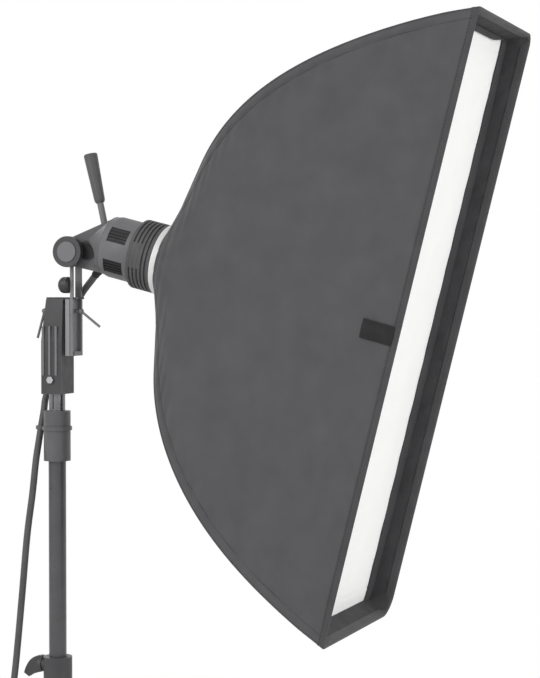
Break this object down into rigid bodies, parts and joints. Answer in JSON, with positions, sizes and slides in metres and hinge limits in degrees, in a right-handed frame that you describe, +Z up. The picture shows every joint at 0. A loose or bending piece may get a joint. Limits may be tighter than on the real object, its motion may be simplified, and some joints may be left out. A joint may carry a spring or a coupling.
{
  "type": "studio softbox on stand",
  "caption": "Tall strip softbox with recessed white front on a tilting flash head, carried by a fork on a height-adjustable studio stand with swinging legs.",
  "frame": {"origin": "on the floor, on the axis of the stand's column", "axes": "+Z up the column, +X the way the light points, +Y to the light's left"},
  "size_m": [1.0237, 0.8674, 1.6664],
  "materials": {
    "stand_black": "satin black powder coat",
    "cast_grey": "dark grey paint on castings",
    "plate_steel": "bright plated steel",
    "wing_cast": "dark painted casting",
    "knob_black": "moulded, fine texture",
    "rubber_black": "matt moulded rubber",
    "head_grey": "dark grey satin paint",
    "vent_dark": "matt",
    "lamp_ceramic": "pale ceramic",
    "lamp_glass": "clear",
    "shell_fabric": "dark grey coated cloth, silver inside",
    "lip_fabric": "black webbing and tape",
    "white_fabric": "white diffusion cloth",
    "rod_steel": "spring steel",
    "ring_light": "pale moulded ring",
    "ring_dark": "black anodised",
    "cable_rubber": "matt black sheath",
    "clip_plastic": "moulded black"
  },
  "bodies": {
    "stand_base": {"base_column": "stand_black", "lock_collar": "cast_grey", "leg_a": "stand_black", "foot_a": "rubber_black", "cord_drop": "cable_rubber", "cord_coil": "cable_rubber", "coil_tie": "lip_fabric", "plug": "clip_plastic"},
    "leg_left": {"leg_b": "stand_black", "foot_b": "rubber_black"},
    "leg_right": {"leg_c": "stand_black", "foot_c": "rubber_black"},
    "lock_wing": {"wing_screw": "wing_cast"},
    "riser": {"riser_tube": "stand_black", "riser_collar": "cast_grey", "neck": "cast_grey", "spigot": "plate_steel", "cable_clip": "clip_plastic", "cord_pan": "cable_rubber"},
    "stand_head": {"stand_block": "cast_grey", "block_bolt": "plate_steel", "block_clip": "clip_plastic", "top_plate": "plate_steel", "fork": "cast_grey", "pivot_bolt": "plate_steel", "cord_tilt": "cable_rubber"},
    "front_lever": {"front_lever": "plate_steel"},
    "rear_lever": {"rear_lever": "plate_steel"},
    "drag_knob": {"drag_knob": "knob_black"},
    "tilt_knob": {"tilt_knob": "knob_black"},
    "lamp_head": {"rear_cap": "head_grey", "barrel": "head_grey", "vent_grilles": "vent_dark", "grip_collar": "rubber_black", "lamp_base": "lamp_ceramic", "flash_tube": "lamp_glass", "modelling_lamp": "lamp_glass", "glass_dome": "lamp_glass", "handle_rod": "plate_steel", "handle_grip": "rubber_black", "cable_gland": "rubber_black"},
    "softbox": {"panel_near": "shell_fabric", "panel_far": "shell_fabric", "panel_top": "shell_fabric", "panel_bottom": "shell_fabric", "front_lip": "lip_fabric", "diffuser": "white_fabric", "hook_tape": "lip_fabric", "rod_near_top": "rod_steel", "rod_near_bottom": "rod_steel", "rod_far_top": "rod_steel", "rod_far_bottom": "rod_steel", "corner_pockets": "lip_fabric", "clamp_ring": "ring_light", "speed_ring": "ring_dark", "ring_screws": "plate_steel", "inner_baffle": "white_fabric", "pull_tab": "lip_fabric"}
  },
  "joints": [
    {"name": "leg_left_swing", "type": "hinge", "parent": "stand_base", "child": "leg_left", "pos_m": [0, 0, 0.1123], "axis": [0, 0, 1], "range_deg": [-100, 0]},
    {"name": "leg_right_swing", "type": "hinge", "parent": "stand_base", "child": "leg_right", "pos_m": [0, 0, 0.1526], "axis": [0, 0, 1], "range_deg": [0, 100]},
    {"name": "riser_slide", "type": "slide", "parent": "stand_base", "child": "riser", "axis": [0, 0, 1], "range_m": [-0.3, 0.2], "deforming": ["cord_drop"]},
    {"name": "lock_wing_turn", "type": "hinge", "parent": "stand_base", "child": "lock_wing", "pos_m": [-0.03, 0, 0.673], "axis": [1, 0, 0], "range_deg": [0, 180]},
    {"name": "head_pan", "type": "hinge", "parent": "riser", "child": "stand_head", "pos_m": [0, 0, 1.185], "axis": [0, 0, 1], "range_deg": [-90, 90], "deforming": ["cord_pan"]},
    {"name": "front_lever_turn", "type": "hinge", "parent": "stand_head", "child": "front_lever", "pos_m": [0.036, 0, 1.2413], "axis": [1, 0, 0], "range_deg": [-60, 60]},
    {"name": "rear_lever_turn", "type": "hinge", "parent": "stand_head", "child": "rear_lever", "pos_m": [-0.02, 0, 1.2413], "axis": [1, 0, 0], "range_deg": [-60, 60]},
    {"name": "drag_knob_turn", "type": "hinge", "parent": "stand_head", "child": "drag_knob", "pos_m": [0.02, -0.0138, 1.2828], "axis": [1, 0, 0], "continuous": true},
    {"name": "tilt_knob_turn", "type": "hinge", "parent": "stand_head", "child": "tilt_knob", "pos_m": [0.033, -0.025, 1.3353], "axis": [0, 1, 0], "continuous": true},
    {"name": "head_tilt", "type": "hinge", "parent": "stand_head", "child": "lamp_head", "pos_m": [0.033, 0, 1.3353], "axis": [0, 1, 0], "range_deg": [-90, 25], "deforming": ["cord_tilt"]},
    {"name": "softbox_turn", "type": "hinge", "parent": "lamp_head", "child": "softbox", "pos_m": [0.16799, 0, 1.32676], "axis": [0.9699, 0, -0.2436], "continuous": true}
  ]
}
